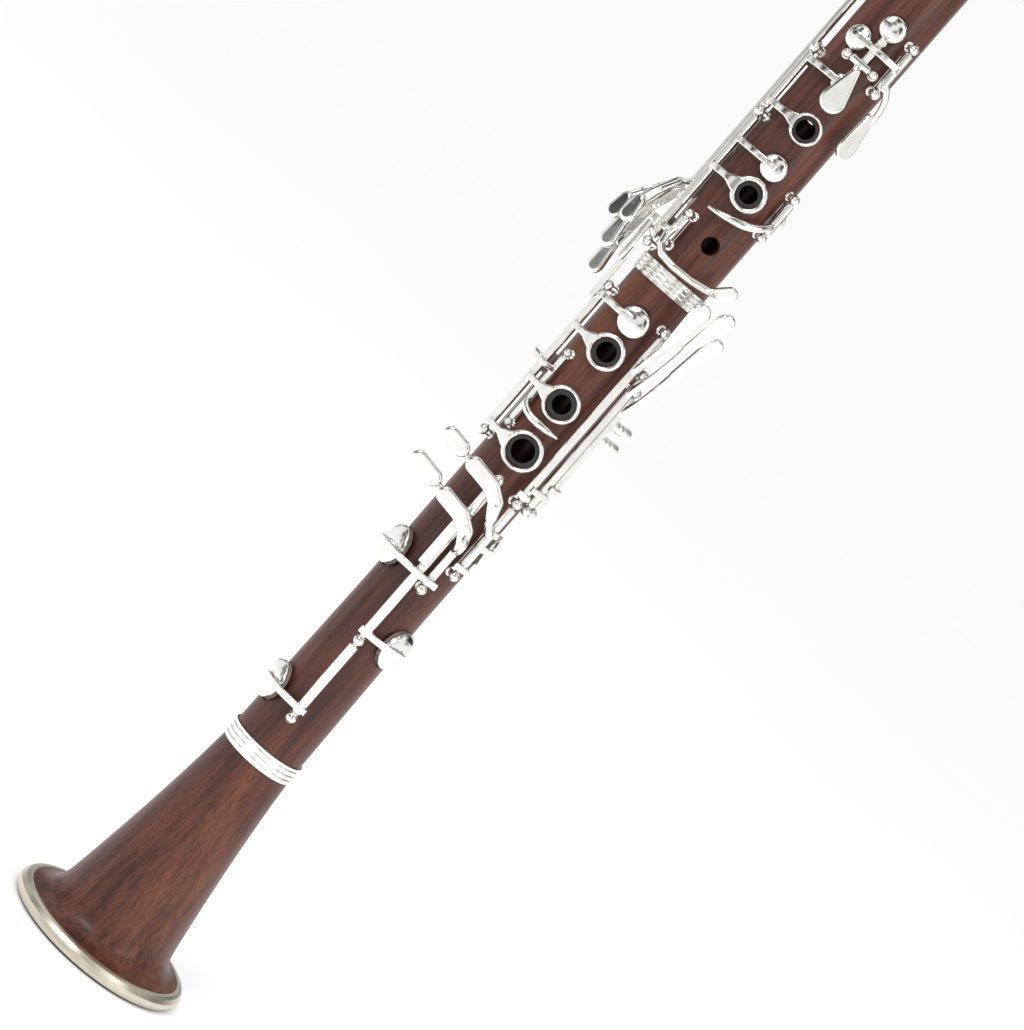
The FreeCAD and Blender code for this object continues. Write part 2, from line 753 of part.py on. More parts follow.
def make_mouthpiece():
    foot = mouthpiece_foot() + dim("shoulder_gap")
    length = dim("mouthpiece_length")
    top = foot + length
    wide = dim("mouthpiece_radius")
    tenon = dim("tenon_wood_radius")
    bore = dim("bore_radius")
    tenon_foot = mouthpiece_foot() - dim("mouthpiece_tenon_length")
    profile = [(bore, tenon_foot), (tenon, tenon_foot), (tenon, foot), (wide, foot)]
    profile += [(wide, foot + 5), (mouthpiece_body_radius(7), foot + 7)]
    profile += [(mouthpiece_body_radius(length), top), (1.5, top), (bore, foot + 40)]
    blank = turned_profile(profile, Vector(0, 0, 0), UP)
    table = dim("table_depth")
    size = 60
    behind = Part.makeBox(size, size, length, Vector(-size / 2, table, foot + 6))
    beak_foot = foot + 0.5 * length
    tip = table - dim("tip_thickness")
    beak = Part.Face(Part.makePolygon([
        Vector(-size / 2, -wide - 3, beak_foot), Vector(-size / 2, tip, top + 0.01),
        Vector(-size / 2, tip, top + 9), Vector(-size / 2, -wide - 3, top + 9),
        Vector(-size / 2, -wide - 3, beak_foot)])).extrude(Vector(size, 0, 0))
    window = Part.makeBox(9.6, 8.5, 30, Vector(-4.8, 1.5, top - 32))
    body = blank.cut(behind).cut(beak).cut(window)
    feature("mouthpiece", body)
    outer = dim("socket_radius") - dim("cork_fit")
    feature("mouthpiece_cork", pipe(UP * (tenon_foot + 1), UP * (mouthpiece_foot() - 2), outer, tenon))


def make_reed():
    foot = mouthpiece_foot() + 8
    top = mouthpiece_foot() + dim("shoulder_gap") + dim("mouthpiece_length")
    table = dim("table_depth") + 0.02
    heel = table + dim("reed_thickness")
    half = dim("reed_width") / 2
    face = Part.Face(Part.makePolygon([
        Vector(-half, table, foot), Vector(-half, heel, foot), Vector(-half, heel, foot + 30),
        Vector(-half, table + 0.35, top), Vector(-half, table, top), Vector(-half, table, foot)]))
    feature("reed", face.extrude(Vector(2 * half, 0, 0)))


LIGATURE_SCREW_RISE = 4.0


def ligature_sleeve(growth, low, high):
    """The mouthpiece with its reed, grown outwards by some amount, between two heights."""
    foot = mouthpiece_foot() + dim("shoulder_gap")
    cone = Part.makeCone(mouthpiece_body_radius(low - foot) + growth,
                         mouthpiece_body_radius(high - foot) + growth, high - low, UP * low)
    half = dim("reed_width") / 2 + growth
    depth = dim("table_depth") + dim("reed_thickness") + growth
    return cone.fuse(Part.makeBox(2 * half, depth, high - low, Vector(-half, 0, low)))


def make_ligature():
    low = mouthpiece_foot() + 12
    high = low + dim("ligature_height")
    wall = dim("ligature_wall")
    inner = ligature_sleeve(0.1, low, high)
    band = ligature_sleeve(0.1 + wall, low, high).cut(inner)
    heel = dim("table_depth") + dim("reed_thickness")
    lugs = []
    screws = []
    for height in (low + 5, high - 5):
        for hand in (-1, 1):
            base = Vector(hand * 4 - 1.1, heel + 0.2, height - 2.2)
            lugs.append(Part.makeBox(2.2, 6.2, 4.4, base))
        level = heel + LIGATURE_SCREW_RISE
        shank = cylinder(Vector(-6, level, height), Vector(9, level, height), 1.0)
        head = cylinder(Vector(6.2, level, height), Vector(11, level, height), 2.9)
        screws.append(shank.fuse(head))
    level = heel + LIGATURE_SCREW_RISE
    holes = [cylinder(Vector(-9, level, height), Vector(9, level, height), 1.0)
             for height in (low + 5, high - 5)]
    body = joined([band] + lugs).cut(inner).cut(Part.Compound(holes))
    feature("ligature", body)
    feature("ligature_screws", Part.Compound(screws))


# ---------------------------------------------------------------- thumb rest
THUMB_REST_ANGLE = 135.0


def thumb_frame(rho, height):
    return spot(THUMB_REST_ANGLE, rho, height)


def make_thumb_rest():
    """A plate screwed to the wood with an adjustable hook that carries a strap ring."""
    middle = dim("thumb_rest_height")
    base = dim("lower_radius")
    depth = dim("thumb_plate_thickness")
    width = 32.0
    plate = strap(THUMB_REST_ANGLE - 19, THUMB_REST_ANGLE + 19, middle, base, width, depth)
    screw_heights = (middle - 12.5, middle + 12.5)
    holes = [cylinder(thumb_frame(base - 1, height), thumb_frame(base + 4, height), 1.2)
             for height in screw_heights]
    feature("thumb_rest_plate", plate.cut(Part.Compound(holes)))
    screws = []
    for height in screw_heights:
        shank = cylinder(thumb_frame(base, height), thumb_frame(base + depth + 0.3, height), 1.2)
        head = cylinder(thumb_frame(base + depth, height), thumb_frame(base + depth + 1.1, height), 2.1)
        screws.append(shank.fuse(head).cut(Part.makeCylinder(base, width + 10, UP * (middle - width), UP)))
    feature("plate_screws", Part.Compound(screws))
    side = outward(THUMB_REST_ANGLE + 90)
    out = outward(THUMB_REST_ANGLE)

    def block(rho_from, rho_to, half_width, low, high):
        corner = out * rho_from - side * half_width + UP * low
        box = Part.makeBox(rho_to - rho_from, 2 * half_width, high - low)
        turn = FreeCAD.Rotation(out, side, UP, "XYZ")
        box.Placement = FreeCAD.Placement(corner, turn)
        return box

    gap = base + depth + 0.25
    reach = dim("hook_reach")
    foot = block(gap, gap + 2.2, 5.0, middle - 7.0, middle + 7.0)
    pins = [grooved_pin(gap + 1, reach, middle - 3.5 + dim("pin_spacing") * step) for step in (0, 1)]
    web = block(gap, gap + 6.0, 1.2, middle - 5.0, middle + 5.5)
    feature("thumb_rest_hook", joined([foot, web] + pins))


def grooved_pin(rho_from, rho_to, height):
    """A round pin that stands out from the thumb rest, with grooves for grip."""
    outer = dim("pin_radius")
    inner = outer - dim("pin_groove")
    groove = (rho_to - rho_from - 2.0) / 13
    profile = [(0, 0), (outer, 0)]
    for step in range(4):
        foot = (4 + 2 * step) * groove
        profile += [(outer, foot), (inner, foot + 0.3 * groove), (inner, foot + 0.9 * groove),
                    (outer, foot + 1.2 * groove)]
    top = rho_to - rho_from
    profile += [(outer, top - 0.8), (outer - 0.8, top), (0, top)]
    return turned_profile(profile, thumb_frame(rho_from, height), outward(THUMB_REST_ANGLE))


# ---------------------------------------------------------------- keys
def hinge_tube(hinge, low, high, outer=None):
    radius = outer or dim("tube_radius")
    bore = dim("rod_radius") + dim("running_fit")
    return pipe(along_rod(hinge, low), along_rod(hinge, high), radius, bore)


def cleared(pieces, hinge, low, high, bore=None):
    """Join a key's pieces and open the bore for its rod."""
    radius = bore or dim("rod_radius") + dim("running_fit")
    through = cylinder(along_rod(hinge, low - 5), along_rod(hinge, high + 5), radius)
    return joined(pieces).cut(through)


def tube_span(rod_name, first=0, last=None):
    """The heights between two of a rod's posts, less their balls and the end play."""
    hinge, heights, ball = RODS[rod_name]
    stop = len(heights) - 1 if last is None else last
    play = ball + dim("end_play")
    return heights[first] + play, heights[stop] - play


def ring_level(height):
    return skin(height) + dim("ring_bottom")


def finger_ring(name, hinge):
    """A finger ring on a narrow arm that widens where it meets the ring."""
    phi, height, outer, inner, hole = FINGER_RINGS[name]
    level = ring_level(height)
    depth = dim("ring_thickness")
    profile = [(inner, 0), (outer - 0.15, 0), (outer, 0.3 * depth), (outer - 0.2, 0.65 * depth),
               (outer - 0.65, depth), (inner + 0.45, depth), (inner, 0.7 * depth)]
    ring = turned_profile(profile, spot(phi, level, height), outward(phi))
    opening = cylinder(spot(phi, level - 3, height), spot(phi, level + depth + 3, height), inner)
    facing = outward(phi)
    side = outward(phi + 90)
    offset = (along_rod(hinge, height) - spot(phi, 0, height)).dot(side)
    hand = -1 if offset < 0 else 1
    half = dim("ring_arm_width") / 2

    def at(distance):
        return side * (hand * distance) + UP * height

    arm = leaf(at(abs(offset) - 0.6), at(outer - 1), facing, half, half, 26)
    flare = leaf(at(outer + 3.2), at(outer - 1.8), facing, half, 0.46 * outer, 26)
    shell = Part.makeCylinder(level + 1.5 + 1.4, 30, UP * (height - 15), UP)
    shell = shell.cut(Part.makeCylinder(level + 1.5, 30, UP * (height - 15), UP))
    return ring.fuse(arm.fuse(flare).common(shell)).cut(opening)


def pad_arm(name, hinge, width=2.6, thickness=1.3):
    """A flat arm from a hinge to the side of a pad cup, with the cup."""
    phi, height, radius, hole, standing_open = PADS[name]
    level = cup_top(name) + dim("cup_dome") - thickness + 0.3
    arm = strap(hinge[0], phi, height, level, width, thickness)
    pad_room = cylinder(spot(phi, 0, height), spot(phi, cup_bottom(name), height), radius)
    root = cylinder(along_rod(hinge, height), spot(hinge[0], level + 0.6 * thickness, height), 0.4 * width)
    return [arm.cut(pad_room), root, cup(name)]


def over_arm(name, hinge, height, crossing, width=2.8):
    """An arm that crosses over a neighbouring hinge to reach a pad cup."""
    phi, pad_height, radius, hole, standing_open = PADS[name]
    depth = dim("strap_thickness")
    riser = cylinder(along_rod(hinge, height), spot(hinge[0], crossing + depth, height), width / 2)
    top = strap(hinge[0], phi, height, crossing, width, depth)
    landing = cylinder(spot(phi, cup_bottom(name) + 0.5, height),
                       spot(phi, crossing + depth, height), width / 2)
    return [riser, top, landing, cup(name)]


def make_upper_ring_key():
    low, high = tube_span("ring_upper", 1, 2)
    pieces = [hinge_tube(RING_LINE, low, high), finger_ring("left_first_ring", RING_LINE)]
    pieces += pad_arm("upper_ring", RING_LINE)
    feature("upper_ring_key", cleared(pieces, RING_LINE, low, high))


def bridge_tongue(low, high, level, root):
    """The tongue that carries the rings' motion across the middle joint."""
    inner = spot(RING_LINE[0], level, low)
    plate = strap(RING_LINE[0] - 5, RING_LINE[0] + 5, (low + high) / 2, level, high - low, 1.1)
    riser = cylinder(along_rod(RING_LINE, root), spot(RING_LINE[0], level + 0.8, root), 1.4)
    return [plate, riser]


def make_middle_ring_key():
    low, high = tube_span("ring_upper", 0, 1)
    pieces = [hinge_tube(RING_LINE, low, high), finger_ring("left_second_ring", RING_LINE)]
    pieces += pad_arm("middle_ring", RING_LINE)
    level = RING_LINE[1] + RODS["ring_upper"][2] + 1.7
    pieces += bridge_tongue(330.0, low + 4, level, low + 2)
    feature("middle_ring_key", cleared(pieces, RING_LINE, low, high))


def make_lower_ring_key():
    low, high = tube_span("ring_lower")
    pieces = [hinge_tube(RING_LINE, low, high)]
    pieces += [finger_ring(name, RING_LINE) for name in ("low_ring", "second_ring", "first_ring")]
    pieces += pad_arm("lower_ring", RING_LINE)
    level = RING_LINE[1] + RODS["ring_lower"][2] + 0.25
    pieces += bridge_tongue(high - 5, 336.5, level, high - 3)
    feature("lower_ring_key", cleared(pieces, RING_LINE, low, high))


def make_a_key():
    height, rho, facing, spacing = A_PIVOT
    side = outward(facing + 90)
    middle = spot(facing, rho, height)
    half = spacing - CROSS_POST - dim("end_play")
    barrel = cylinder(middle - side * half, middle + side * half, 1.6)
    bore = cylinder(middle - side * 9, middle + side * 9, dim("rod_radius") + dim("running_fit"))
    phi, pad_height, radius, hole, standing_open = PADS["a"]
    stem_foot = over(0, 6.05, height - 4)
    touch = spoon(over(2, 5.85, height - 3.5), over(3.5, 5.85, height - 16.4),
                  outward(0), 1.7, 4.9, 2.0, 0.8)
    neck = bar([middle, stem_foot], 1.3)
    low_level = cup_bottom("a") + 0.2
    arm = leaf(Vector(0.4, -low_level, height), spot(phi, low_level, pad_height - radius + 0.8),
               outward(0), 1.4, 1.4, 1.7)
    link = cylinder(Vector(0.4, -low_level, height), middle, 1.4)
    screw = cylinder(spot(3, low_level, height + 11), spot(3, low_level + 2.9, height + 11), 1.7)
    key = joined([barrel, touch, neck, arm, link, screw, cup("a")]).cut(bore)
    feature("a_key", key)


def make_g_sharp_key():
    low, high = tube_span("g_sharp")
    phi, height, radius, hole, standing_open = PADS["g_sharp"]
    pieces = [hinge_tube(RIGHT_LINE, low, high)]
    level = dim("upper_radius") + 4.6
    pieces.append(strap(RIGHT_LINE[0], phi, height, level, 2.6, 1.3))
    pieces.append(cylinder(spot(phi, cup_bottom("g_sharp") + 0.5, height),
                           spot(phi, level + 1.3, height), 1.3))
    pieces.append(cup("g_sharp"))
    pieces.append(curved_bar([along_rod(RIGHT_LINE, low + 3), over(46, 5.65, low + 0.5),
                              over(53, 6.65, low - 5), over(56, 6.15, low - 12)], (1.3, 1.3, 1.2, 1.2)))
    pieces.append(spoon(over(50, 5.2, low - 11), over(53, 5.4, low - 23.6), outward(48), 2.5, 4.6, 1.9, 0.7))
    feature("g_sharp_key", cleared(pieces, RIGHT_LINE, low, high))


def make_d_sharp_sliver():
    low, high = tube_span("d_sharp_sliver")
    pieces = [hinge_tube(D_SHARP_LINE, low, high)]
    pieces += pad_arm("d_sharp_sliver", D_SHARP_LINE)
    path = [over(53, 4.05, low + 3.5), over(38, 4.75, low - 0.3), over(18, 4.85, low - 3.4),
            over(-2, 4.55, low - 5.2), over(-24, 3.95, low - 6.4)]
    pieces.append(curved_bar(path, (1.4, 1.6, 1.65, 1.4, 0.6)))
    feature("d_sharp_sliver_key", cleared(pieces, D_SHARP_LINE, low, high))


def make_c_sharp_g_sharp_key():
    low, high = tube_span("c_sharp_g_sharp")
    pieces = [hinge_tube(C_SHARP_LINE, low, high)]
    crossing = RING_LINE[1] + dim("tube_radius") + 0.5
    pieces += over_arm("c_sharp_g_sharp", C_SHARP_LINE, PADS["c_sharp_g_sharp"][1], crossing)
    path = [over(-38, 5.05, 352.6), over(-37, 6.85, 348.4), over(-34.5, 7.05, 344.6), over(-26, 6.65, 341.7),
            over(-8, 6.05, 340.9), over(14, 5.85, 341.2), over(34, 6.65, 342.3), over(44, 7.65, 343.4)]
    pieces.append(bar(path, 1.45))
    pieces.append(spoon(over(42, 6.65, 343.2), over(57.5, 8.25, 346.4), outward(50), 2.1, 3.4, 2.2, 0.8))
    feature("c_sharp_g_sharp_key", cleared(pieces, C_SHARP_LINE, low, high))


# distance of the hinge lines from the bore's axis that the bends of long levers are drawn for
DRAWN_REACH = 18.45


def bend(x, level, height):
    """A point on a long lever, which moves outwards with the hinge lines."""
    growth = (dim("upper_radius") + dim("rod_height")) / DRAWN_REACH
    return front(x * growth, level * growth, height)


def make_side_keys():
    """The four side keys, each a long tube with its touch low down and its pad high up."""
    # for each key: two bends of the lever, then the head and the foot of its touch
    levers = [
        [(-18.8, -10.7, 365.6), (-24.6, -9.2, 351.0), (-25.9, -7.4, 331.0), (-25.6, -7.0, 321.5)],
        [(-21.2, -6.5, 365.4), (-29.0, -4.4, 355.0), (-33.2, -2.6, 348.0), (-33.4, -2.2, 342.0)],
        [(-22.4, -1.1, 365.2), (-26.8, 3.4, 353.0), (-28.4, 5.8, 340.0), (-28.0, 6.2, 332.5)],
        [(-22.4, 4.4, 365.4), (-26.4, 8.0, 357.6), (-28.6, 10.8, 350.6), (-28.4, 11.2, 344.6)],
    ]
    facing = outward(-30)
    for number, (hinge, top, path) in enumerate(zip(SIDE_LINES, SIDE_TOPS, levers), start=1):
        name = "side_key_%d" % number
        low, high = tube_span("side_%d" % number)
        pieces = [hinge_tube(hinge, low, high, SIDE_TUBE)]
        pieces += pad_arm(name, hinge, 2.4)
        bends = [bend(*place) for place in path]
        pieces.append(bar([along_rod(hinge, low + 4)] + bends[:3], 1.2))
        for near, far, wide_near, wide_far in zip(bends, bends[1:3], (1.5, 2.1), (2.1, 2.3)):
            pieces.append(leaf(near - facing * 0.75, far - facing * 0.75, facing, wide_near, wide_far, 1.5))
        pieces.append(spoon(bends[2] - facing * 1.5, bends[3] - facing * 1.5, facing, 2.6, 3.4, 3.0, 1.3))
        feature(name, cleared(pieces, hinge, low, high))


def make_thumb_ring():
    low, high = tube_span("thumb")
    pieces = [hinge_tube(THUMB_LINE, low, high), finger_ring("thumb_ring", THUMB_LINE)]
    feature("thumb_ring_key", cleared(pieces, THUMB_LINE, low, high))


def make_register_key():
    height, rho, facing, spacing = REGISTER_PIVOT
    side = outward(facing + 90)
    middle = spot(facing, rho, height)
    half = spacing - CROSS_POST - dim("end_play")
    barrel = cylinder(middle - side * half, middle + side * half, 1.6)
    bore = cylinder(middle - side * 9, middle + side * 9, dim("rod_radius") + dim("running_fit"))
    pad_height = PADS["register"][1]
    lever = bar([over(facing, 5.45, 446), over(facing, 6.05, height - 8), middle,
                 over(facing, 6.25, height + 12), spot(facing, cup_top("register") + 0.6, pad_height)], 1.3)
    touch = spoon(over(facing, 4.85, 446), over(facing, 4.45, 434.5), outward(facing), 2.0, 4.2, 1.8)
    feature("register_key", joined([barrel, lever, touch, cup("register")]).cut(bore))


def make_b_sliver():
    low, high = tube_span("sliver_lower")
    pieces = [hinge_tube(SLIVER_LINE, low, high, SLIVER_TUBE)]
    crossing = RING_LINE[1] + dim("tube_radius") + 0.5
    pieces += over_arm("b_sliver", SLIVER_LINE, PADS["b_sliver"][1], crossing, 2.4)
    path = [along_rod(SLIVER_LINE, 269.5), spot(-37, 17.6, 267.0), spot(-26, 18.2, 265.4),
            spot(-4, 18.4, 264.7), spot(20, 18.2, 265.0)]
    pieces.append(curved_bar(path, (1.25, 1.45, 1.6, 1.4, 0.6)))
    feature("b_sliver_key", cleared(pieces, SLIVER_LINE, low, high))


def row_touch(points, radii, level):
    """A rounded little-finger touch in a plane across the front, made of joined spoons."""
    spots = [Vector(x, -level, z) for x, z in points]
    depth = dim("touch_thickness")
    return [spoon(start, end, outward(0), radius_from, radius_to, depth, 0.4 * depth)
            for start, end, radius_from, radius_to in zip(spots, spots[1:], radii, radii[1:])]


def front(x, level, height):
    return Vector(x, -level, height)


def open_cup_arm(name, hinge, height, crossing):
    """A raised arm with a spur past its hinge that ends over the middle of a pad cup."""
    phi, pad_height, radius, hole, standing_open = PADS[name]
    hand = 1 if phi < hinge[0] else -1
    depth = dim("strap_thickness")
    top = strap(phi, hinge[0] + hand * 8, height, crossing, 2.8, depth)
    landing = cylinder(spot(phi, cup_bottom(name) + 0.5, height),
                       spot(phi, crossing + depth, height), 1.4)
    return [top, landing, cup(name)]


def make_e_b_key():
    """The long inner rod with its pad at the foot and its touch at the head."""
    low, middle, high = LONG_ROD_POSTS
    play = 2.25 + dim("end_play")
    tube_foot = middle + play
    shaft = cylinder(along_rod(FRONT_LINE, low - 2.2), along_rod(FRONT_LINE, high + 2.2),
                     dim("long_rod_radius"))
    foot_sleeve = cylinder(along_rod(FRONT_LINE, low + play), along_rod(FRONT_LINE, middle - play),
                           dim("long_tube_radius"))
    head_sleeve = cylinder(along_rod(FRONT_LINE, 223.0), along_rod(FRONT_LINE, high - play),
                           dim("long_tube_radius"))
    crossing = dim("front_rod_level") + 0.4
    pieces = [shaft, foot_sleeve, head_sleeve]
    pieces += open_cup_arm("e_b", FRONT_LINE, PADS["e_b"][1], crossing)
    level = dim("outer_touch_level")
    pieces.append(bar([front(0.3, 20.2, 233.6), front(-8, 20.6, 236.8), front(-17, level + 1, 239.6)], 1.2))
    pieces += row_touch([(-23.7, 240.9), (-17.9, 239.8)], (3.4, 3.4), level)
    feature("e_b_key", joined(pieces))


def make_f_sharp_c_sharp_key():
    """The tube over the long rod, with its pad on the right and its touch on the left."""
    low = LONG_ROD_POSTS[1] + 2.25 + dim("end_play")
    high = 222.6
    bore = dim("long_rod_radius") + dim("running_fit")
    pieces = [cylinder(along_rod(FRONT_LINE, low), along_rod(FRONT_LINE, high), dim("long_tube_radius"))]
    crossing = dim("front_rod_level") - 0.4
    pieces += open_cup_arm("f_sharp_c_sharp", FRONT_LINE, PADS["f_sharp_c_sharp"][1], crossing)
    plate_level = dim("front_rod_level") + 1.2
    pieces.append(Part.makeBox(4.0, 1.4, 20.0, Vector(-2.8, -plate_level - 1.4, 197.4)))
    level = dim("outer_touch_level")
    pieces.append(bar([front(0.3, 20.2, 219.6), front(-9, 20.4, 222.0), front(-18, level + 1, 224.6)], 1.2))
    pieces += row_touch([(-26.9, 226.5), (-18.5, 224.8)], (3.4, 3.4), level)
    feature("f_sharp_c_sharp_key", cleared(pieces, FRONT_LINE, low, high, bore))


def make_f_c_key():
    low, high = tube_span("f_c")
    crossing = dim("front_rod_level") + dim("long_tube_radius") + 0.5
    pieces = [hinge_tube(F_C_LINE, low, high)]
    pieces += open_cup_arm("f_c", F_C_LINE, PADS["f_c"][1] - 0.6, crossing)
    riser_height = PADS["f_c"][1] - 0.6
    pieces.append(cylinder(along_rod(F_C_LINE, riser_height),
                           spot(F_C_LINE[0], crossing + 1.2, riser_height), 1.5))
    level = dim("inner_touch_level")
    pieces.append(curved_bar([along_rod(F_C_LINE, high - 2.2), front(5.9, 21.6, 209.6),
                              front(5.9, level + 0.7, 212.2), front(4.6, level + 1.2, 217.0)],
                             (1.5, 1.8, 2.0, 1.2)))
    pieces += row_touch([(-10.7, 223.0), (-2.0, 221.4), (3.6, 217.8)], (3.4, 3.4, 2.9), level)
    pieces.append(spoon(front(3.6, level, 217.8), front(5.8, level - 0.9, 212.8), outward(0), 2.9, 2.1, 2.4, 0.9))
    feature("f_c_key", cleared(pieces, F_C_LINE, low, high))


def make_a_flat_e_flat_key():
    low, high = tube_span("right_lower", 0, 1)
    pieces = [hinge_tube(RIGHT_LINE, low, high)]
    pieces += pad_arm("a_flat_e_flat", RIGHT_LINE, 3.0)
    pieces += [strap(26, 46, saddle, RIGHT_LINE[1] + 0.6, 2.6) for saddle in (204.8, 222.4)]
    level = dim("inner_touch_level")
    pieces.append(bar([along_rod(RIGHT_LINE, 221.0), front(10.0, 19.5, 222.2),
                       front(8.3, level - 0.6, 225.2), front(6.2, level + 1.2, 232.0)], 1.6))
    pieces += row_touch([(-9.9, 238.5), (-0.6, 236.9), (5.0, 233.2)], (3.4, 3.4, 2.9), level)
    pieces.append(spoon(front(5.0, level, 233.2), front(7.4, level - 0.9, 227.8), outward(0), 2.9, 2.1, 2.4, 0.9))
    feature("a_flat_e_flat_key", cleared(pieces, RIGHT_LINE, low, high))


def make_left_levers():
    """The three left-hand levers on the right side of the lower joint."""
    play = RODS["second_right"][2] + dim("end_play")
    levers = [
        # label, hinge, tube heights, crossing arm (height, angle), lever path, touch, its facing
        ("left_lever_1", RIGHT_LINE, (239.1, 317.7), (240.8, 24),
         [(11.6, 14.9, 302), (13.2, 17.6, 309.5), (14.4, 18.9, 317)],
         (15.5, 19.8, 334.4), 4.1, 28),
        ("left_lever_2", SECOND_RIGHT_LINE, (236.6 + play, 303.0 - play), (244.8, 34),
         [(15.5, 10.3, 294), (17.8, 13.6, 303), (19.6, 16.0, 312), (20.9, 17.2, 321.5)],
         (24.6, 18.8, 338.0), 3.8, 33),
        ("left_lever_3", THIRD_RIGHT_LINE, (236.6 + play, 296.0 - play), (248.8, 54),
         [(17.9, 4.7, 286), (21.0, 6.8, 295.5), (22.6, 8.0, 304), (23.7, 8.9, 311)],
         (27.2, 11.0, 328.0), 4.1, 40),
    ]
    for label, hinge, (low, high), (arm_height, arm_angle), path, tip, width, facing in levers:
        pieces = [hinge_tube(hinge, low, high)]
        crossing = hinge[1] + dim("tube_radius") + 0.4
        pieces.append(strap(arm_angle, hinge[0], arm_height, crossing, 2.6))
        pieces.append(cylinder(along_rod(hinge, arm_height), spot(hinge[0], crossing + 1.2, arm_height), 1.3))
        points = [bend(*place) for place in path]
        pieces.append(curved_bar(points, (1.3, 1.3, 1.4), 3))
        pieces.append(spoon(points[-1] - outward(facing) * 1.0, bend(*tip), outward(facing),
                            1.8, width, 2.1, 0.8))
        feature(label, cleared(pieces, hinge, low, high))


# ---------------------------------------------------------------- build
make_bell()
make_bell_rings()
LOWER = make_lower_joint()
node(turned_body("middle_socket_ring", grooved_ring("middle_ring_radius", "lower_top",
                                                    "middle_ring_height")))
UPPER = make_upper_joint()
make_corks()
make_inserts()
make_barrel()
make_mouthpiece()
make_reed()
make_ligature()
make_thumb_rest()
make_posts("lower_posts", False, LOWER.Shape)
make_posts("upper_posts", True, UPPER.Shape)
make_rods()
make_springs()
make_upper_ring_key()
make_middle_ring_key()
make_lower_ring_key()
make_a_key()
make_g_sharp_key()
make_d_sharp_sliver()
make_c_sharp_g_sharp_key()
make_side_keys()
make_thumb_ring()
make_register_key()
make_b_sliver()
make_e_b_key()
make_f_sharp_c_sharp_key()
make_f_c_key()
make_a_flat_e_flat_key()
make_left_levers()
for pad_name in PADS:
    make_pad(pad_name)

DOC.recompute()
for item in DOC.Objects:
    check(item)
for item in NODES:
    if item.Shape.isNull() or not item.Shape.isValid():
        raise RuntimeError(item.Label + " has no valid shape")
for item in NODES:
    item.Shape.exportStep("parts/" + item.Label + ".step")
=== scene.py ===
import json
import math
import bpy
import bmesh
from mathutils import Matrix, Vector

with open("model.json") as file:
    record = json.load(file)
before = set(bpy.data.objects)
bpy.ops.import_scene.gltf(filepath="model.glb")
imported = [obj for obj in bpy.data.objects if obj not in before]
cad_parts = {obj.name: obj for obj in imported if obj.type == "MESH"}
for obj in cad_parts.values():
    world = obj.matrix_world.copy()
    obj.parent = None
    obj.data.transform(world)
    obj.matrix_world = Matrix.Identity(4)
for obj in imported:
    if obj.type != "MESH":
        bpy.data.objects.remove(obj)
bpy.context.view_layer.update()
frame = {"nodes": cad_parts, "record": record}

MM = 0.001

FLOOR_TONE = 0.955
FLOOR_MOTTLE = 0.006
FLOOR_RADIUS = 14.0
FLOOR_SIDES = 96

# Height of the painted contact shadow along the bottom of the nickel bell rim.
RIM_PAINTED_SHADOW_HEIGHT = 1.3 * MM
SKIN_GRAIN = 0.00024
SKIN_PASSES = 6

ANY_WAY = (1, 1, 1)

# One row per layer of wood grain: stretch along the bore, then scale, detail and roughness.
WOOD_GRAIN = {
    "broad": ((1, 1, 0.16), 42, 4, 0.6),
    "middle": ((1, 1, 0.05), 230, 5, 0.62),
    "fine": ((1, 1, 0.035), 900, 5, 0.7),
    "pores": ((1, 1, 0.05), 2200, 2, 0.5),
}
WOOD_BASE = [(0.30, (0.068, 0.023, 0.018)), (0.48, (0.112, 0.035, 0.022)),
             (0.60, (0.152, 0.052, 0.026)), (0.76, (0.205, 0.082, 0.034))]
WOOD_BANDS = [(0.34, (0.46, 0.40, 0.40)), (0.50, (0.92, 0.88, 0.86)), (0.68, (1.22, 1.16, 1.05))]
WOOD_STREAKS = [(0.36, (0.46, 0.40, 0.40)), (0.56, (1.0, 1.0, 1.0))]
WOOD_PORES = [(0.34, (0.30, 0.26, 0.26)), (0.45, (1.0, 1.0, 1.0))]
BAND_SHARE = 0.85
STREAK_SHARE = 0.7
PORE_SHARE = 0.6

# Painted contact shadow: a colour multiplier from near black at the bottom of the rim to none above
# it.
FOOT_PAINTED_SHADOW = [(0.45, (0.03, 0.03, 0.03)), (0.95, (1.0, 1.0, 1.0))]
DARK_CARDS = [(0.44, (0.02, 0.02, 0.02)), (0.55, (0.95, 0.95, 0.94))]

CAMERA_DISTANCE = 1.150
CAMERA_HEIGHT = 0.36145
CAMERA_OFFSET = 0.01252
CAMERA_TILT = math.radians(6.483)
CAMERA_ROLL = math.radians(41.16)
CAMERA_LENS = 108.2
CAMERA_SENSOR = 36.0


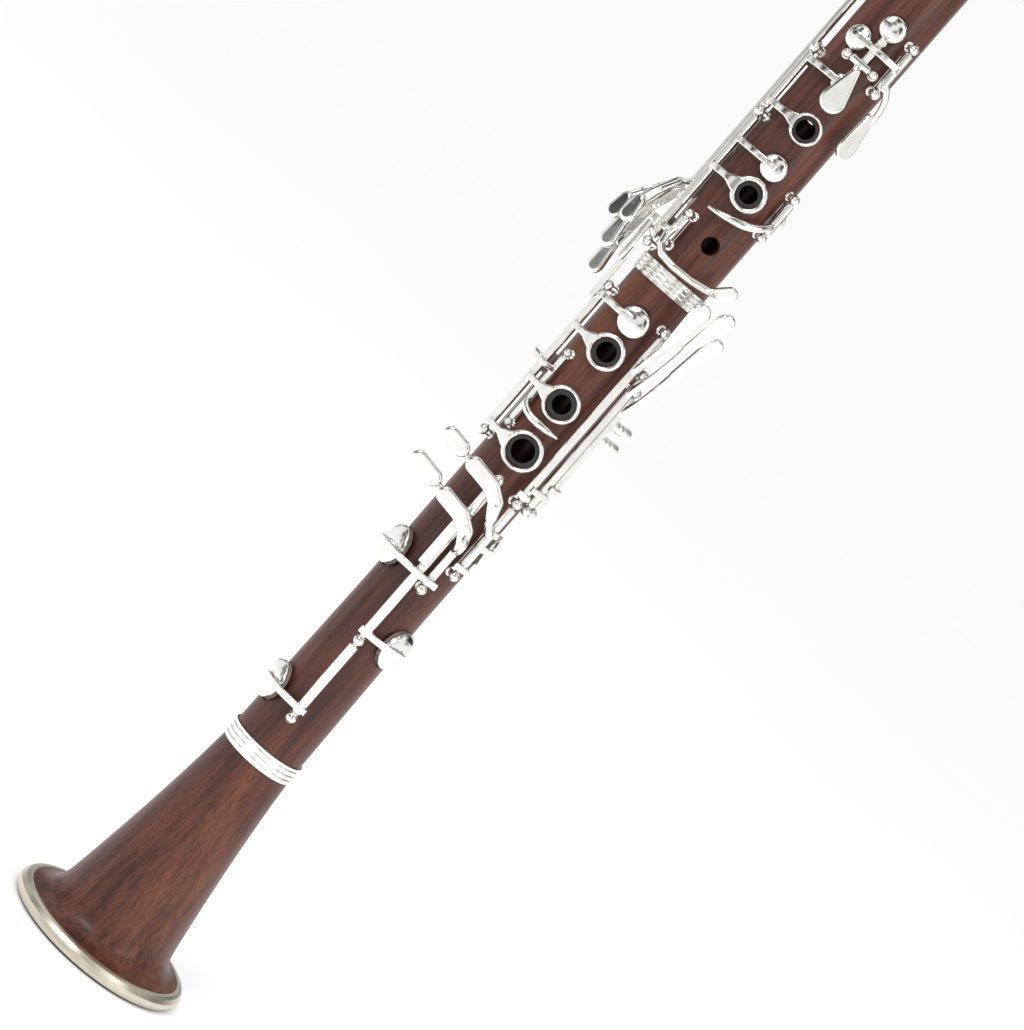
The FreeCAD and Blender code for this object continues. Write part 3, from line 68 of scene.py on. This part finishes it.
# ---------------------------------------------------------------- shader graphs
class Graph:
    """Short names for building the nodes of a material or of the world."""

    def __init__(self, node_tree):
        self.nodes = node_tree.nodes
        self.links = node_tree.links

    def add(self, kind, **inputs):
        """A new node; each named input takes a constant."""
        node = self.nodes.new(kind)
        for key, value in inputs.items():
            node.inputs[key.replace("_", " ")].default_value = value
        return node

    def feed(self, socket, value):
        """Link a socket to another, or set it to a constant; a colour gets its alpha here."""
        if isinstance(value, bpy.types.NodeSocket):
            self.links.new(value, socket)
        elif isinstance(value, tuple):
            socket.default_value = (*value, 1)
        else:
            socket.default_value = value

    def coordinates(self, stretch=ANY_WAY):
        where = self.add("ShaderNodeTexCoord")
        mapping = self.add("ShaderNodeMapping", Scale=stretch)
        self.feed(mapping.inputs["Vector"], where.outputs["Object"])
        return mapping.outputs["Vector"]

    def noise(self, vector, scale, detail, rough):
        node = self.add("ShaderNodeTexNoise", Scale=scale, Detail=detail, Roughness=rough)
        self.feed(node.inputs["Vector"], vector)
        return node.outputs["Fac"]

    def ramp(self, factor, stops):
        node = self.add("ShaderNodeValToRGB")
        elements = node.color_ramp.elements
        while len(elements) < len(stops):
            elements.new(0.5)
        for element, (place, colour) in zip(elements, stops):
            element.position = place
            element.color = (*colour, 1)
        self.feed(node.inputs["Fac"], factor)
        return node.outputs["Color"]

    def mix(self, factor, first, second, blend="MIX"):
        node = self.add("ShaderNodeMix")
        node.data_type = "RGBA"
        node.blend_type = blend
        for place, value in ((0, factor), (6, first), (7, second)):
            self.feed(node.inputs[place], value)
        return node.outputs[2]

    def scaled(self, factor, low, high):
        """A factor from 0 to 1 brought between low and high."""
        node = self.add("ShaderNodeMapRange", To_Min=low, To_Max=high)
        self.feed(node.inputs["Value"], factor)
        return node.outputs["Result"]

    def height_share(self, vector, top):
        """0 at height zero, 1 at the height top and above."""
        parts = self.add("ShaderNodeSeparateXYZ")
        self.feed(parts.inputs[0], vector)
        node = self.add("ShaderNodeMapRange", From_Max=top)
        self.feed(node.inputs["Value"], parts.outputs["Z"])
        return node.outputs["Result"]


class Surface(Graph):
    """A new material and the graph that feeds its shader."""

    def __init__(self, name):
        self.material = bpy.data.materials.new(name)
        self.material.use_nodes = True
        super().__init__(self.material.node_tree)
        self.shader = self.nodes["Principled BSDF"]

    def shade(self, **values):
        for key, value in values.items():
            self.feed(self.shader.inputs[key.replace("_", " ")], value)

    def bump(self, height, distance, strength):
        node = self.add("ShaderNodeBump", Distance=distance, Strength=strength)
        self.feed(node.inputs["Height"], height)
        self.feed(self.shader.inputs["Normal"], node.outputs["Normal"])


# ---------------------------------------------------------------- materials
def rosewood(name):
    """Oiled red-brown rosewood: long wandering streaks, dark pores and a soft gloss."""
    wood = Surface(name)
    grain = {layer: wood.noise(wood.coordinates(stretch), *noise)
             for layer, (stretch, *noise) in WOOD_GRAIN.items()}
    colour = wood.ramp(grain["broad"], WOOD_BASE)
    for layer, stops, share in (("middle", WOOD_BANDS, BAND_SHARE),
                                ("fine", WOOD_STREAKS, STREAK_SHARE),
                                ("pores", WOOD_PORES, PORE_SHARE)):
        colour = wood.mix(share, colour, wood.ramp(grain[layer], stops), "MULTIPLY")
    wood.shade(Base_Color=colour, Roughness=wood.scaled(grain["fine"], 0.34, 0.5),
               Specular_IOR_Level=0.32, Coat_Weight=0.12, Coat_Roughness=0.18)
    wood.bump(grain["pores"], 0.05 * MM, 0.4)
    return wood.material


def polished(name, colour, rough_low, rough_high, painted_shadow_height=0.0):
    """Plated metal with faint wiping marks and a little tarnish; below a given height the colour
    carries a painted contact shadow, darker towards the bottom.
    """
    metal = Surface(name)
    where = metal.coordinates()
    smear = metal.noise(where, 160, 5, 0.65)
    fine = metal.noise(where, 900, 3, 0.5)
    tarnished = tuple(0.86 * part for part in colour)
    tarnish_and_painted_shadow = metal.ramp(smear, [(0.30, tarnished), (0.55, colour)])
    # Painted shadow: below the given height the colour is multiplied towards black, standing in for
    # the contact shade where the bell rim stands on the floor.
    if painted_shadow_height:
        shade = metal.ramp(metal.height_share(where, painted_shadow_height), FOOT_PAINTED_SHADOW)
        tarnish_and_painted_shadow = metal.mix(1.0, tarnish_and_painted_shadow, shade, "MULTIPLY")
    metal.shade(Base_Color=tarnish_and_painted_shadow, Metallic=1.0, Roughness=metal.scaled(smear, rough_low, rough_high))
    metal.bump(fine, 0.02 * MM, 0.25)
    return metal.material


def hard_rubber(name, colour, roughness):
    """Black hard rubber with a faint bloom."""
    rubber = Surface(name)
    bloom = rubber.noise(rubber.coordinates(), 400, 5, 0.6)
    pale = tuple(1.8 * part for part in colour)
    rubber.shade(Base_Color=rubber.ramp(bloom, [(0.35, colour), (0.7, pale)]),
                 Roughness=rubber.scaled(bloom, roughness, roughness + 0.12))
    rubber.bump(bloom, 0.03 * MM, 0.3)
    return rubber.material


def grained(name, light, dark, scale, stretch, roughness):
    """Cork, cane and pad skin: a light colour broken by darker grain."""
    fibre = Surface(name)
    grain = fibre.noise(fibre.coordinates(stretch), scale, 6, 0.65)
    fibre.shade(Base_Color=fibre.ramp(grain, [(0.36, dark), (0.58, light)]), Roughness=roughness)
    fibre.bump(grain, 0.08 * MM, 0.4)
    return fibre.material


def white_paper(name):
    """White paper, almost without tone, as pale as the background behind it."""
    paper = Surface(name)
    patch = paper.noise(paper.coordinates(), 3, 2, 0.5)
    low, high = FLOOR_TONE - FLOOR_MOTTLE, FLOOR_TONE + FLOOR_MOTTLE
    paper.shade(Base_Color=paper.ramp(patch, [(0.3, (low, low, low)), (0.7, (high, high, high))]),
                Roughness=1.0, Specular_IOR_Level=0.0)
    return paper.material


MATERIALS = {
    "rosewood": rosewood("rosewood"),
    # The nickel bell rim gets a painted contact shadow along its lowest 1.3 mm.
    "nickel": polished("nickel", (0.72, 0.67, 0.55), 0.27, 0.40, RIM_PAINTED_SHADOW_HEIGHT),
    "silver_plate": polished("silver_plate", (0.92, 0.91, 0.88), 0.10, 0.20),
    "steel": polished("steel", (0.66, 0.65, 0.63), 0.12, 0.25),
    "ebonite": hard_rubber("ebonite", (0.012, 0.012, 0.013), 0.22),
    "pad_skin": grained("pad_skin", (0.20, 0.17, 0.14), (0.10, 0.085, 0.07), 500, ANY_WAY, 0.7),
    "cork": grained("cork", (0.46, 0.29, 0.15), (0.20, 0.11, 0.05), 700, ANY_WAY, 0.85),
    "cane": grained("cane", (0.66, 0.50, 0.24), (0.50, 0.35, 0.14), 900, (1, 1, 0.04), 0.55),
}


# ---------------------------------------------------------------- finish on the CAD nodes
def is_forged(name, slot):
    """Keys and other cast or forged metal, whose every edge is soft."""
    return slot == "silver_plate" and ("key" in name or "lever" in name or name == "thumb_rest_hook")


def soften(node):
    """Round every edge of a forged piece by wrapping it in a fine skin and easing that skin."""
    skin = node.modifiers.new("skin", "REMESH")
    skin.mode = "VOXEL"
    skin.voxel_size = SKIN_GRAIN
    skin.use_smooth_shade = True
    ease = node.modifiers.new("ease", "SMOOTH")
    ease.factor = 0.5
    ease.iterations = SKIN_PASSES


def dress_nodes():
    """Each CAD node takes the material of its slot; the forged ones are softened too."""
    slots = {item["node"]: item["material_slot"] for item in frame["record"]["subparts"]}
    for name, node in frame["nodes"].items():
        node.data.materials.clear()
        node.data.materials.append(MATERIALS[slots[name]])
        for face in node.data.polygons:
            face.use_smooth = True
            face.material_index = 0
        if is_forged(name, slots[name]):
            soften(node)


# ---------------------------------------------------------------- studio
def place_in_scene(name, data):
    item = bpy.data.objects.new(name, data)
    bpy.context.scene.collection.objects.link(item)
    return item


def add_floor():
    mesh = bpy.data.meshes.new("floor")
    shape = bmesh.new()
    bmesh.ops.create_circle(shape, cap_ends=True, segments=FLOOR_SIDES, radius=FLOOR_RADIUS)
    shape.to_mesh(mesh)
    shape.free()
    mesh.materials.append(white_paper("studio_floor"))
    place_in_scene("floor", mesh)


def add_area(name, place, aim, size, power):
    """A soft rectangular light at one place, turned towards another."""
    lamp = bpy.data.lights.new(name, "AREA")
    lamp.shape = "RECTANGLE"
    lamp.size, lamp.size_y = size
    lamp.energy = power
    holder = place_in_scene(name, lamp)
    holder.location = place
    holder.rotation_euler = (Vector(aim) - Vector(place)).to_track_quat("-Z", "Y").to_euler()


def add_world():
    """White all round to the camera; a pale room with dark cards to the polished metal."""
    world = bpy.data.worlds.new("studio")
    world.use_nodes = True
    bpy.context.scene.world = world
    sky = Graph(world.node_tree)
    where = sky.add("ShaderNodeTexCoord")
    cards = sky.add("ShaderNodeTexNoise", Scale=3.4, Detail=1.0)
    sky.feed(cards.inputs["Vector"], where.outputs["Generated"])
    reflected = sky.ramp(cards.outputs["Fac"], DARK_CARDS)
    ray = sky.add("ShaderNodeLightPath")
    seen = sky.mix(ray.outputs["Is Camera Ray"], (1, 1, 1), (FLOOR_TONE, FLOOR_TONE, FLOOR_TONE))
    background = sky.nodes["Background"]
    sky.feed(background.inputs["Color"], sky.mix(ray.outputs["Is Glossy Ray"], seen, reflected))
    sky.feed(background.inputs["Strength"], 1.0)


def add_camera():
    """Level with the middle of the body, looking slightly down and rolled so the clarinet leans."""
    lens = bpy.data.cameras.new("camera")
    lens.sensor_fit = "HORIZONTAL"
    lens.sensor_width = CAMERA_SENSOR
    lens.lens = CAMERA_LENS
    camera = place_in_scene("camera", lens)
    forward = Vector((0, math.cos(CAMERA_TILT), -math.sin(CAMERA_TILT)))
    right = Vector((1, 0, 0))
    above = right.cross(forward)
    side = right * math.cos(CAMERA_ROLL) + above * math.sin(CAMERA_ROLL)
    top = above * math.cos(CAMERA_ROLL) - right * math.sin(CAMERA_ROLL)
    turn = Matrix((side, top, -forward)).transposed().to_4x4()
    spot = Matrix.Translation((CAMERA_OFFSET, -CAMERA_DISTANCE, CAMERA_HEIGHT))
    camera.matrix_world = spot @ turn
    bpy.context.scene.camera = camera


dress_nodes()
add_floor()
add_world()
add_camera()
add_area("key_light", (-0.9, -1.3, 1.5), (0, 0, 0.25), (0.9, 0.9), 14)
add_area("fill_light", (1.2, -0.9, 0.9), (0, 0, 0.3), (0.7, 1.2), 6)
bpy.context.scene.view_settings.view_transform = "Standard"
